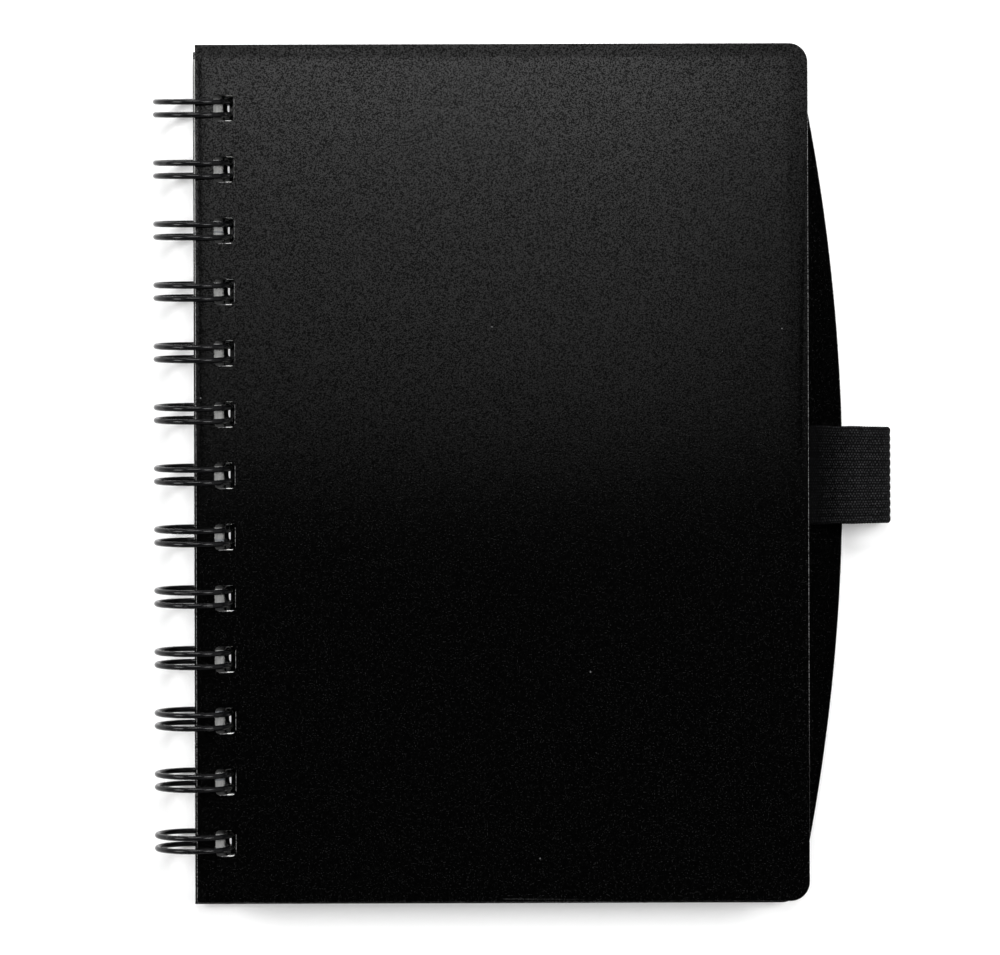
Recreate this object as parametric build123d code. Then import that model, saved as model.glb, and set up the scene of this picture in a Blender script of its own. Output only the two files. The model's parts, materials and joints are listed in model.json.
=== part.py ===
from build123d import *

import os
from math import acos, asin, atan, cos, hypot, radians, sin, sqrt

# A pocket notebook bound with a twin-loop wire. It lies closed on a table:
# +X runs from the wire to the fore-edge, +Y to the head of the page, +Z up.
# All sizes are in millimetres. The shapes are laid out with x = 0 on the axis
# of the wire's loops and z = 0 on the table, and are centred when written.

# ---- driving sizes ---------------------------------------------------------

COVER_WIDTH = 127.0
COVER_HEIGHT = 177.8
COVER_THICKNESS = 0.6
COVER_CORNER_RADIUS = 4.0

SHEET_WIDTH_TRIM = 4.4  # a sheet is this much narrower than the cover
SHEET_HEIGHT_TRIM = 4.2  # and this much shorter
SHEET_THICKNESS = 0.09
SHEET_AIR = 0.01  # left between neighbouring sheets
SHEET_CORNER_RADIUS = 3.0
SHEET_COUNT = 80
SHEETS_PER_GROUP = 10
SHEET_BODY_SPLIT = 40  # the book opens in the middle, below this sheet
TOP_LEAN = 0.9  # where the highest sheet hangs on the wire, as for web_edge()
TAIL_LEAN = -0.35  # and the lowest

LOOP_PITCH = 12.7
LOOP_END_MARGIN = 10.0  # least distance from an end loop to the cover's end
WIRE_DIAMETER = 1.1
WIRE_SPACING = 2.7  # between the two strands of a loop
LOOP_SKEW = 0.9  # the back of each loop leans this far towards the head
LOOP_OFFSET = 0.2  # loops sit this far towards the head in their holes
BASE_BEND = 1.0
TIP_BEND = 1.2
TIP_GAP = 1.0  # from the straight links to the hairpin tips, along the loop
END_STUB = 2.0

PUNCH_MARGIN = 3.9  # solid strip between a leaf's spine edge and its holes
REAR_PUNCH_MARGIN = 3.4  # the rear cover's is narrower
PUNCH_WIDTH_SLACK = 3.1  # hole width beyond the wire
PUNCH_HEIGHT_SLACK = 1.6  # hole height beyond the two strands
PUNCH_CORNER_RADIUS = 0.8
RUNNING_CLEARANCE = 0.25  # between the wire and the leaves that turn on it
STATIC_CLEARANCE = 0.1  # between the wire and the rear cover
LEAF_GAP = 0.05  # between leaves that turn on their own

REAR_DROP = 1.45  # rear cover's outer face, inside the loops' centreline
LINK_GAP = 0.15  # from the rear cover's inner face up to the straight links
TIP_ROOM = 0.8  # height left above the straight links for the hairpin tips
FRONT_DROP = 2.55  # front cover's outer face, inside the loops' centreline

FRONT_SHIFT_Y = 0.7
REAR_SHIFT_Y = -0.2
SHEET_SHIFT_Y = 0.3
FLAP_REACH = 7.55  # apex of the rear cover's curved edge past the front cover
FLAP_TUCK = 2.2  # its ends, inside the front cover's edge
FLAP_SHIFT_Y = -0.6

BAND_WIDTH = 20.0
BAND_THICKNESS = 1.1
BAND_SHIFT_Y = 0.05
BAND_REACH = 9.9  # pen loop's fold beyond the apex of the flap
BAND_SEWN_LENGTH = 17.0  # how far the band's ends run in under the book
BAND_GAP = 0.05
PEN_SPACE = 5.0  # inside height of the pen loop
BAND_BEND = 3.0
BAND_HUG = 5.5  # the two runs lie flat on the flap up to here, inside its edge
BAND_RISE = 7.3  # length over which the upper run climbs to the pen space
BAND_FALL = 5.0  # length over which the lower run drops to the table
BAND_FOLD_ROUNDING = 0.48  # of the band's standing height, at its two bends

THREAD_DIAMETER = 0.36
STITCH_LENGTH = 2.6
STITCH_PITCH = 3.6
STITCH_SIDE_MARGIN = 1.5  # least width of band left beside the rows
STITCH_ROW_INSETS = (2.5, 6.5)  # from the ends of the band

# ---- sizes that follow from them -------------------------------------------

WIRE_RADIUS = WIRE_DIAMETER / 2
SHEET_PITCH = SHEET_THICKNESS + SHEET_AIR
SEAM_SPACE = LINK_GAP + WIRE_DIAMETER + TIP_ROOM
STACK_HEIGHT = SHEET_COUNT * SHEET_PITCH + 2 * LEAF_GAP
BOOK_HEIGHT = 2 * COVER_THICKNESS + SEAM_SPACE + STACK_HEIGHT + LEAF_GAP
LOOP_RADIUS = (BOOK_HEIGHT + REAR_DROP + FRONT_DROP) / 2
AXIS_Z = LOOP_RADIUS + WIRE_RADIUS
LOOP_TILT = asin(LOOP_SKEW / (2 * LOOP_RADIUS))

REAR_BOTTOM = AXIS_Z - LOOP_RADIUS + REAR_DROP
REAR_TOP = REAR_BOTTOM + COVER_THICKNESS
STACK_BOTTOM = REAR_TOP + SEAM_SPACE
FRONT_BOTTOM = STACK_BOTTOM + STACK_HEIGHT + LEAF_GAP
LINK_Z = REAR_TOP + LINK_GAP + WIRE_RADIUS
LINK_ANGLE = asin((LINK_Z - AXIS_Z) / (hypot(LOOP_RADIUS, BASE_BEND) * cos(LOOP_TILT)))

SHEET_WIDTH = COVER_WIDTH - SHEET_WIDTH_TRIM
SHEET_HEIGHT = COVER_HEIGHT - SHEET_HEIGHT_TRIM
PUNCH_WIDTH = WIRE_DIAMETER + PUNCH_WIDTH_SLACK
PUNCH_HEIGHT = WIRE_SPACING + WIRE_DIAMETER + PUNCH_HEIGHT_SLACK
LOOP_COUNT = int((COVER_HEIGHT - 2 * LOOP_END_MARGIN) / LOOP_PITCH) + 1
LOOP_YS = [(i - (LOOP_COUNT - 1) / 2) * LOOP_PITCH for i in range(LOOP_COUNT)]


def web_edge(z_low, z_high, clearance, lean):
    """x of the spine side of a leaf's holes: 1 pulls the leaf as far from the
    wire's axis as the wire lets it, -1 pushes it as far in."""
    heights = [abs(z_low - AXIS_Z), abs(z_high - AXIS_Z)]
    inside = LOOP_RADIUS - WIRE_RADIUS - clearance
    outside = LOOP_RADIUS + WIRE_RADIUS + clearance
    furthest = sqrt(inside**2 - max(heights) ** 2)
    nearest = sqrt(outside**2 - min(heights) ** 2) - PUNCH_WIDTH
    return (furthest + nearest) / 2 + lean * (furthest - nearest) / 2


FRONT_X = web_edge(FRONT_BOTTOM, FRONT_BOTTOM + COVER_THICKNESS, RUNNING_CLEARANCE, 1) - PUNCH_MARGIN
REAR_X = web_edge(REAR_BOTTOM, REAR_TOP, STATIC_CLEARANCE, 1) - REAR_PUNCH_MARGIN
FRONT_EDGE = FRONT_X + COVER_WIDTH
FLAP_EDGE = FRONT_EDGE + FLAP_REACH
BAND_EDGE = FLAP_EDGE + BAND_REACH

# The origin is under the middle of the whole notebook's box.
Y_LOW = min(FRONT_SHIFT_Y, REAR_SHIFT_Y) - COVER_HEIGHT / 2
Y_HIGH = max(FRONT_SHIFT_Y, REAR_SHIFT_Y) + COVER_HEIGHT / 2
TO_FRAME = Location((-(BAND_EDGE - AXIS_Z) / 2, -(Y_LOW + Y_HIGH) / 2, 0))


# ---- covers and sheets -----------------------------------------------------


def holes(first_x, corner_radius):
    """The row of punched holes, as a sketch, spine side at first_x."""
    if corner_radius > 0:
        shape = RectangleRounded(PUNCH_WIDTH, PUNCH_HEIGHT, corner_radius)
    else:
        shape = Rectangle(PUNCH_WIDTH, PUNCH_HEIGHT)
    places = Locations([(first_x + PUNCH_WIDTH / 2, y) for y in LOOP_YS])
    return places * shape


def leaf_outline(width, height, spine_x, shift_y, corner_radius):
    """A leaf with square corners at the spine and round ones at the fore-edge."""
    outline = Pos(spine_x + width / 2, shift_y) * Rectangle(width, height)
    fore_corners = outline.vertices().sort_by(Axis.X)[-2:]
    return fillet(fore_corners, corner_radius)


def front_cover():
    outline = leaf_outline(COVER_WIDTH, COVER_HEIGHT, FRONT_X, FRONT_SHIFT_Y, COVER_CORNER_RADIUS)
    punched = outline - holes(FRONT_X + PUNCH_MARGIN, PUNCH_CORNER_RADIUS)
    return Pos(0, 0, FRONT_BOTTOM) * extrude(punched, COVER_THICKNESS)


def rear_cover():
    """The rear cover's fore-edge is one long arc that carries the pen loop."""
    low = REAR_SHIFT_Y - COVER_HEIGHT / 2
    high = REAR_SHIFT_Y + COVER_HEIGHT / 2
    corner_x = FRONT_EDGE - FLAP_TUCK
    edges = [
        Line((REAR_X, high), (REAR_X, low)),
        Line((REAR_X, low), (corner_x, low)),
        ThreePointArc((corner_x, low), (FLAP_EDGE, REAR_SHIFT_Y + FLAP_SHIFT_Y), (corner_x, high)),
        Line((corner_x, high), (REAR_X, high)),
    ]
    outline = make_face(edges)
    fore_corners = outline.vertices().sort_by(Axis.X)[-2:]
    outline = fillet(fore_corners, COVER_CORNER_RADIUS)
    punched = outline - holes(REAR_X + REAR_PUNCH_MARGIN, PUNCH_CORNER_RADIUS)
    return Pos(0, 0, REAR_BOTTOM) * extrude(punched, COVER_THICKNESS)


def sheet_height(number):
    """Underside of a sheet, counted from 1 at the top of the stack."""
    gaps_below = LEAF_GAP * ((number == 1) + (number <= SHEET_BODY_SPLIT))
    return STACK_BOTTOM + (SHEET_COUNT - number) * SHEET_PITCH + gaps_below


def sheets(numbers):
    """Loose sheets. The lowest lie a little nearer the spine than the highest,
    because each one hangs on the curve of the wire."""
    outline = leaf_outline(SHEET_WIDTH, SHEET_HEIGHT, 0, SHEET_SHIFT_Y, SHEET_CORNER_RADIUS)
    blank = extrude(outline - holes(PUNCH_MARGIN, 0), SHEET_THICKNESS)
    stack = []
    for number in numbers:
        z = sheet_height(number)
        depth = (number - 1) / (SHEET_COUNT - 1)
        lean = TOP_LEAN - (TOP_LEAN - TAIL_LEAN) * depth**2
        x = web_edge(z, z + SHEET_THICKNESS, RUNNING_CLEARANCE, lean) - PUNCH_MARGIN
        stack.append(blank.solid().moved(Location((x, 0, z))))
    return Compound(children=stack)


# ---- wire ------------------------------------------------------------------


def on_loop(angle, y):
    """A point of a loop's centreline, which leans about the X axis."""
    across = LOOP_RADIUS * sin(angle)
    return Vector(LOOP_RADIUS * cos(angle), y - across * sin(LOOP_TILT), AXIS_Z + across * cos(LOOP_TILT))


def along_loop(angle):
    """Unit direction of a strand where the angle falls."""
    return Vector(sin(angle), cos(angle) * sin(LOOP_TILT), -cos(angle) * cos(LOOP_TILT))


def corner(end, inward, side, depth):
    """An arc from a line along the side direction into a strand that starts at
    end and runs inward. Returns where it leaves the line, and its middle."""
    turn = acos(inward.dot(side))
    radius = depth / (1 - cos(turn))
    normal = (inward - side * cos(turn)).normalized()
    start = end - side * (radius * sin(turn)) - normal * depth
    middle = start + side * (radius * sin(turn / 2)) + normal * (radius * (1 - cos(turn / 2)))
    return start, middle


def binding_wire():
    """One wire: up and back round each loop, and straight on to the next."""
    base_start = LINK_ANGLE - atan(BASE_BEND / LOOP_RADIUS)
    tip_end = LINK_ANGLE + TIP_GAP / LOOP_RADIUS + atan(TIP_BEND / LOOP_RADIUS) - radians(360)
    half_way = (base_start + tip_end) / 2
    side = Vector(0, 1, 0)
    edges = []
    link_from = None
    for loop_y in LOOP_YS:
        near = loop_y + LOOP_OFFSET - WIRE_SPACING / 2
        far = near + WIRE_SPACING
        down = along_loop(base_start)
        to_tip = along_loop(tip_end)

        near_base = on_loop(base_start, near)
        near_tip = on_loop(tip_end, near)
        far_tip = on_loop(tip_end, far)
        far_base = on_loop(base_start, far)

        link_end, link_end_middle = corner(near_base, down, side, BASE_BEND)
        bar_start, bar_start_middle = corner(near_tip, -to_tip, -side, TIP_BEND)
        bar_end, bar_end_middle = corner(far_tip, -to_tip, side, TIP_BEND)
        link_start, link_start_middle = corner(far_base, down, -side, BASE_BEND)

        if link_from is None:
            link_from = link_end - side * END_STUB
        edges += [
            Line(link_from, link_end),
            ThreePointArc(link_end, link_end_middle, near_base),
            ThreePointArc(near_base, on_loop(half_way, near), near_tip),
            ThreePointArc(near_tip, bar_start_middle, bar_start),
            Line(bar_start, bar_end),
            ThreePointArc(bar_end, bar_end_middle, far_tip),
            ThreePointArc(far_tip, on_loop(half_way, far), far_base),
            ThreePointArc(far_base, link_start_middle, link_start),
        ]
        link_from = link_start
    edges.append(Line(link_from, link_from + side * END_STUB))
    path = Wire(edges)
    section = Plane(origin=path @ 0, z_dir=path % 0) * Circle(WIRE_RADIUS)
    return sweep(section, path)


# ---- pen loop --------------------------------------------------------------

BAND_END = FRONT_EDGE - BAND_SEWN_LENGTH
BAND_UPPER = REAR_TOP + BAND_GAP + BAND_THICKNESS / 2
BAND_LOWER = REAR_BOTTOM - BAND_GAP - BAND_THICKNESS / 2


def pen_loop():
    """A woven elastic band, folded round the flap and sewn through it."""
    floor_run = BAND_THICKNESS / 2
    roof_run = floor_run + BAND_THICKNESS + PEN_SPACE
    fold = BAND_EDGE - BAND_THICKNESS / 2
    fold_radius = BAND_FOLD_ROUNDING * (roof_run - floor_run)
    hug_end = FLAP_EDGE - BAND_HUG
    points = [
        (BAND_END, BAND_UPPER),
        (hug_end, BAND_UPPER),
        (hug_end + BAND_RISE, roof_run),
        (fold, roof_run),
        (fold, floor_run),
        (hug_end + BAND_FALL, floor_run),
        (hug_end, BAND_LOWER),
        (BAND_END, BAND_LOWER),
    ]
    radii = [BAND_BEND, BAND_BEND, fold_radius, fold_radius, BAND_BEND, BAND_BEND]
    line = FilletPolyline(*points, radius=radii)
    profile = Plane.XZ * trace(line, BAND_THICKNESS)
    band = extrude(profile, BAND_WIDTH / 2, both=True)
    return Pos(0, BAND_SHIFT_Y, 0) * band


def loop_stitching():
    """Two rows of lock stitches through both runs of the band and the cover."""
    top = BAND_UPPER + (BAND_THICKNESS + THREAD_DIAMETER) / 2
    bottom = BAND_LOWER - (BAND_THICKNESS + THREAD_DIAMETER) / 2
    bar = Box(THREAD_DIAMETER, STITCH_LENGTH + THREAD_DIAMETER, THREAD_DIAMETER)
    leg = Cylinder(THREAD_DIAMETER / 2, top - bottom)
    middle = (top + bottom) / 2
    stitch = Pos(0, 0, top) * bar + Pos(0, 0, bottom) * bar
    for end in (-1, 1):
        stitch += Pos(0, end * STITCH_LENGTH / 2, middle) * leg
    per_row = int((BAND_WIDTH - 2 * STITCH_SIDE_MARGIN - STITCH_LENGTH) / STITCH_PITCH) + 1
    rows = []
    for inset in STITCH_ROW_INSETS:
        for i in range(per_row):
            y = BAND_SHIFT_Y + (i - (per_row - 1) / 2) * STITCH_PITCH
            rows.append(stitch.solid().moved(Location((BAND_END + inset, y, 0))))
    return Compound(children=rows)


# ---- the pieces ------------------------------------------------------------


def sheet_groups():
    """The first sheet by itself, then the others in groups."""
    groups = {"first_sheet": [1]}
    first = 2
    while first <= SHEET_COUNT:
        last = min(SHEET_COUNT, (first + SHEETS_PER_GROUP - 1) // SHEETS_PER_GROUP * SHEETS_PER_GROUP)
        groups[f"sheets_{first:02d}_to_{last:02d}"] = range(first, last + 1)
        first = last + 1
    return groups


pieces = {
    "front_cover": front_cover(),
    "rear_cover": rear_cover(),
    "binding_wire": binding_wire(),
    "pen_loop": pen_loop(),
    "loop_stitching": loop_stitching(),
}
for group_name, group_numbers in sheet_groups().items():
    pieces[group_name] = sheets(group_numbers)

os.makedirs("parts", exist_ok=True)
for node, piece in pieces.items():
    export_step(piece.moved(TO_FRAME), f"parts/{node}.step")

print("loop radius", round(LOOP_RADIUS, 3), "loops", LOOP_COUNT, "axis x", round(TO_FRAME.position.X, 3))
print("front edge", round(FRONT_EDGE, 3), "flap edge", round(FLAP_EDGE, 3), "band edge", round(BAND_EDGE, 3))
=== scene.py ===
import json
import math

import bmesh
import bpy
import numpy as np
from bpy.props import FloatProperty, FloatVectorProperty, IntProperty, PointerProperty
from mathutils import Matrix, Vector
from mathutils.geometry import delaunay_2d_cdt


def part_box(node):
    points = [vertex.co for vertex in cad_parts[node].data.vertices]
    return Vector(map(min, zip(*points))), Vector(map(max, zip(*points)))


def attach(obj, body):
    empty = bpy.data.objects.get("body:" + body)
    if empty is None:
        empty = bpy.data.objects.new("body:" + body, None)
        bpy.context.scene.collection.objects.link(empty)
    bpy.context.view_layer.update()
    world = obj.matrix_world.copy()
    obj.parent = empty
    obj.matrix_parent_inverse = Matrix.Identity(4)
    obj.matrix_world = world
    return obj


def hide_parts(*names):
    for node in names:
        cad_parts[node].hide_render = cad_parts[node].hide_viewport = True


bl_info = {
    "name": "Pocket notebook",
    "version": (1, 0, 0),
    "blender": (4, 5, 0),
    "location": "3D View > Sidebar > Notebook",
    "description": "Builds a twin-loop notebook with plastic covers and an elastic pen loop",
    "category": "Object",
}

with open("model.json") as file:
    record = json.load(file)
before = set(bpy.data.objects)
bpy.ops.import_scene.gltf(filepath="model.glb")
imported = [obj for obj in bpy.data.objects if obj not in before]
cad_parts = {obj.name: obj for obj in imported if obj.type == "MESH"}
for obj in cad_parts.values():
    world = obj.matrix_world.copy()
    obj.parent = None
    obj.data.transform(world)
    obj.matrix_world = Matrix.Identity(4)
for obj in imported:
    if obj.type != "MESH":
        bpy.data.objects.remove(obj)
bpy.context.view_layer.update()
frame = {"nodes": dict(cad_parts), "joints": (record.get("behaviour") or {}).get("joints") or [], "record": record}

MM = 0.001

# Shading breaks at edges sharper than this many degrees.
CREASE = 12
# The longest step along the curved stretches of each outline.
COVER_STEP = 0.3 * MM
HOLE_STEP = 0.2 * MM
SHEET_STEP = 0.6 * MM
BAND_STEP = 0.2 * MM
STITCH_STEP = 0.12 * MM
# Nothing further than this from a hole's first corner lies in that hole.
HOLE_REACH = 8 * MM

# The wire's axis is the pin that every leaf turns on.
AXIS = Vector(frame["joints"][0]["pos_m"])
AXIS_LINE = Vector((AXIS.x, 0, AXIS.z))
FRONT_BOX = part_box("front_cover")
REAR_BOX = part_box("rear_cover")
SHEET_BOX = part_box("first_sheet")
WIRE_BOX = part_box("binding_wire")
BAND_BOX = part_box("pen_loop")
STITCH_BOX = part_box("loop_stitching")
OUTER_RADIUS = AXIS.x - WIRE_BOX[0].x
BODIES = frame["record"]["behaviour"]["bodies"]
LOWER_GROUPS = list(BODIES["lower_sheets"])
UPPER_GROUPS = list(BODIES["upper_sheets"])


# ---- settings --------------------------------------------------------------


def length(name, description, millimetres):
    return FloatProperty(
        name=name, description=description, default=millimetres * MM, unit="LENGTH", precision=5
    )


def scalar(name, description, value):
    return FloatProperty(name=name, description=description, default=value)


def angular(name, description, degrees):
    return FloatProperty(
        name=name, description=description, default=math.radians(degrees), subtype="ANGLE"
    )


def colour(name, description, rgb):
    return FloatVectorProperty(
        name=name, description=description, default=rgb, subtype="COLOR", size=3, min=0, max=1
    )


class CoverSettings(bpy.types.PropertyGroup):
    corner: length("Corner radius", "Radius of the covers' fore-edge corners", 4.0)
    edge: length("Edge rounding", "Rounding along the cut edges", 0.07)
    droop: length("Rim droop", "How far the rim sinks past the sheets", 0.05)
    warp: length("Warp", "Height of the slow waves in the front cover", 0.05)
    flap_tuck: length("Flap tuck", "The flap's ends, inside the front cover's edge", 2.2)
    flap_shift: length("Flap shift", "How far the flap's apex is towards the tail", 0.6)
    grain: length("Grain", "Size of the sand grain", 0.25)
    pitting: scalar("Pitting", "How dull the grain's pits are", 0.85)
    flap_sag: scalar("Flap sag", "Slope of the flap, down to the table", 0.05)
    tint: colour("Plastic", "Colour of the plastic", (0.0004, 0.0004, 0.0004))


class PunchSettings(bpy.types.PropertyGroup):
    count: IntProperty(name="Holes", description="Holes in a leaf", default=13, min=1)
    pitch: length("Pitch", "From one hole to the next", 12.7)
    width: length("Width", "Across the spine", 4.2)
    height: length("Height", "Along the spine", 5.4)
    margin: length("Margin", "From the spine edge to the holes", 3.9)
    rear_margin: length("Rear margin", "The same on the rear cover", 3.4)
    corner: length("Corner radius", "Radius of a cover hole's corners", 0.8)


class WireSettings(bpy.types.PropertyGroup):
    diameter: length("Diameter", "Diameter of the wire", 1.1)
    spacing: length("Spacing", "Between the two strands of a loop", 2.7)
    skew: length("Skew", "How far the back of a loop leans to the head", 0.9)
    shift: length("Shift", "The loops' place in their holes, to the head", 0.2)
    base_bend: length("Base bend", "Radius where a link turns into a loop", 1.0)
    tip_bend: length("Tip bend", "Radius of the hairpin's corners", 1.2)
    tip_gap: length("Tip gap", "From the links to the hairpin tips", 1.0)
    link_gap: length("Link gap", "From the rear cover up to the straight links", 0.15)
    stub: length("Stub", "Straight end past the first and the last loop", 2.0)
    loop_steps: IntProperty(name="Loop steps", description="Steps round a loop", default=80)
    bend_steps: IntProperty(name="Bend steps", description="Steps round a bend", default=9)
    sides: IntProperty(name="Sides", description="Sides of the tube", default=20)
    tint: colour("Enamel", "Colour of the wire's coating", (0.003, 0.003, 0.0034))


class SheetSettings(bpy.types.PropertyGroup):
    corner: length("Corner radius", "Radius of a sheet's corners", 3.0)
    thickness: length("Thickness", "Thickness of the paper", 0.09)
    jitter: length("Jitter", "How unevenly the sheets are stacked", 0.12)
    ruling: length("Ruling", "From one rule to the next", 7.1)
    twist: angular("Twist", "How far the lower sheets are turned in the wire's slack", 0.15)
    # Strength of the painted shade over each sheet's spine strip.
    rub_and_shade: scalar("Spine shade", "How grey the wire has rubbed the spine strip", 0.5)
    tint: colour("Paper", "Colour of the paper", (0.71, 0.71, 0.695))


class BandSettings(bpy.types.PropertyGroup):
    thickness: length("Thickness", "Thickness of the elastic", 1.1)
    rib: length("Rib pitch", "From one rib to the next across the band", 1.62)
    pick: length("Pick pitch", "From one cross thread to the next", 0.56)
    rib_depth: length("Rib depth", "Depth of the grooves between ribs", 0.16)
    pick_depth: length("Pick depth", "Depth between cross threads", 0.07)
    spread: length("Spread", "How much wider each side of the band is at the cover", 0.45)
    gap: length("Gap", "Between the band and the flap", 0.05)
    hug: length("Hug", "The runs lie flat up to here, inside the flap's edge", 5.5)
    rise: length("Rise", "Over which the upper run climbs to the pen space", 7.3)
    fall: length("Fall", "Over which the lower run drops to the table", 5.0)
    bend: length("Bend", "Radius of the band's gentle bends", 3.0)
    fold: scalar("Fold", "Radius of the fold, as a share of its height", 0.48)
    wobble: length("Wobble", "How far the band's edges wander", 0.06)
    fray: length("Fray", "Depth of the scallops along the selvedge", 0.11)
    tint: colour("Elastic", "Colour of the yarn in its shade", (0.0006, 0.0006, 0.0007))
    # The crowns' colour is a painted highlight.
    highlight: colour("Elastic crowns", "Colour of the yarn's worn crowns", (0.038, 0.038, 0.04))


class StitchSettings(bpy.types.PropertyGroup):
    rows: IntProperty(name="Rows", description="Rows of stitches", default=2, min=1)
    per_row: IntProperty(name="Stitches", description="Stitches in a row", default=5, min=1)
    length: length("Length", "Length of a stitch", 2.6)
    thread: length("Thread", "Diameter of the thread", 0.36)
    bend: length("Bend", "Radius of a stitch's corners", 0.45)
    tint: colour("Thread colour", "Colour of the thread", (0.02, 0.02, 0.021))


class StageSettings(bpy.types.PropertyGroup):
    distance: length("Camera distance", "From the camera to the front cover", 1500.0)
    view_width: length("View width", "Width of the view at the front cover", 207.2)
    aim_x: length("Aim X", "Where the camera points, from the wire's axis", 63.72)
    aim_y: length("Aim Y", "Where the camera points, from the middle hole", -0.56)
    panel_height: length("Panel height", "Height of the light panel", 2000.0)
    panel_glow: scalar("Panel glow", "Brightness of the panel", 1.52)
    lamp_power: scalar("Lamp power", "Watts of each side light", 42)
    floor_glow: scalar("Floor glow", "Brightness of the open floor", 0.2)
    hole_glow: scalar("Hole glow", "Brightness of the floor under the holes", 0.6)
    turn: angular("Camera turn", "How far the camera is turned about its own line", -0.17)


SETTINGS = {
    "notebook_cover": CoverSettings,
    "notebook_punch": PunchSettings,
    "notebook_wire": WireSettings,
    "notebook_sheet": SheetSettings,
    "notebook_band": BandSettings,
    "notebook_stitch": StitchSettings,
    "notebook_stage": StageSettings,
}


# ---- node graphs -----------------------------------------------------------


def both_ways(operation):
    """An operator's two methods, with the field first and with the field second."""
    return (
        lambda self, other: self.maths(operation, self, other),
        lambda self, other: self.maths(operation, other, self),
    )


class Field:
    """A node's output that takes part in arithmetic, one Math node at a time."""

    __add__, __radd__ = both_ways("ADD")
    __sub__, __rsub__ = both_ways("SUBTRACT")
    __mul__, __rmul__ = both_ways("MULTIPLY")
    __truediv__, __rtruediv__ = both_ways("DIVIDE")
    __lt__, __gt__ = both_ways("LESS_THAN")

    def __init__(self, graph, socket):
        self.graph = graph
        self.socket = socket

    def maths(self, operation, *values):
        inputs = dict(enumerate(values))
        return self.graph.add("ShaderNodeMath", {"operation": operation}, inputs)

    def __abs__(self):
        return self.maths("ABSOLUTE", self)

    def sine(self):
        return self.maths("SINE", self)

    def wrap(self):
        return self.maths("FRACT", self)

    def whole(self):
        return self.maths("FLOOR", self)

    def smooth(self, low, high):
        settings = {"interpolation_type": "SMOOTHSTEP"}
        inputs = {"Value": self, "From Min": low, "From Max": high}
        return self.graph.add("ShaderNodeMapRange", settings, inputs)


class Graph:
    """Adds nodes to a shader or geometry tree."""

    def __init__(self, tree):
        self.tree = tree
        tree.nodes.clear()

    def add(self, kind, settings=None, inputs=None, output=0):
        """One node: its settings are set first, then its sockets' values or links."""
        node = self.tree.nodes.new(kind)
        for name, value in (settings or {}).items():
            setattr(node, name, value)
        for key, value in (inputs or {}).items():
            if isinstance(value, Field):
                self.tree.links.new(value.socket, node.inputs[key])
            else:
                node.inputs[key].default_value = value
        if not node.outputs:
            return None
        return Field(self, node.outputs[output])

    def also(self, field, output):
        """Another output of the node that a field came from."""
        return Field(self, field.socket.node.outputs[output])

    def place(self):
        return self.add("ShaderNodeTexCoord", output="Object")

    def axes(self, vector):
        x = self.add("ShaderNodeSeparateXYZ", inputs={0: vector})
        return x, self.also(x, "Y"), self.also(x, "Z")

    def noise(self, vector, size, detail=2.0, roughness=0.5, stretch=(1, 1, 1)):
        """Soft noise with features of about that size, in metres."""
        mapped = self.add("ShaderNodeMapping", inputs={"Vector": vector, "Scale": stretch})
        inputs = {"Vector": mapped, "Scale": 1 / size, "Detail": detail, "Roughness": roughness}
        return self.add("ShaderNodeTexNoise", inputs=inputs)

    def cells(self, vector, size):
        """Distance to the nearest of scattered points, 0 on a point."""
        inputs = {"Vector": vector, "Scale": 1 / size}
        return self.add("ShaderNodeTexVoronoi", inputs=inputs, output="Distance")

    def mix(self, factor, low, high):
        settings = {"data_type": "RGBA"}
        inputs = {"Factor": factor, 6: (*low, 1) if isinstance(low, tuple) else low}
        inputs[7] = (*high, 1) if isinstance(high, tuple) else high
        return self.add("ShaderNodeMix", settings, inputs, output=2)

    def bump(self, height, distance, normal=None):
        inputs = {"Height": height, "Distance": distance}
        if normal is not None:
            inputs["Normal"] = normal
        return self.add("ShaderNodeBump", inputs=inputs)


def material(name, slot_tint):
    """A new material with its Graph, filled in by the functions below."""
    made = bpy.data.materials.new(name)
    made.use_nodes = True
    made.diffuse_color = (*slot_tint, 1)
    return made, Graph(made.node_tree)


def surface(graph, **inputs):
    """The shader itself; sockets are named with _ for a space."""
    named = {key.replace("_", " "): value for key, value in inputs.items()}
    shader = graph.add("ShaderNodeBsdfPrincipled", inputs=named)
    graph.add("ShaderNodeOutputMaterial", inputs={"Surface": shader})


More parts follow.
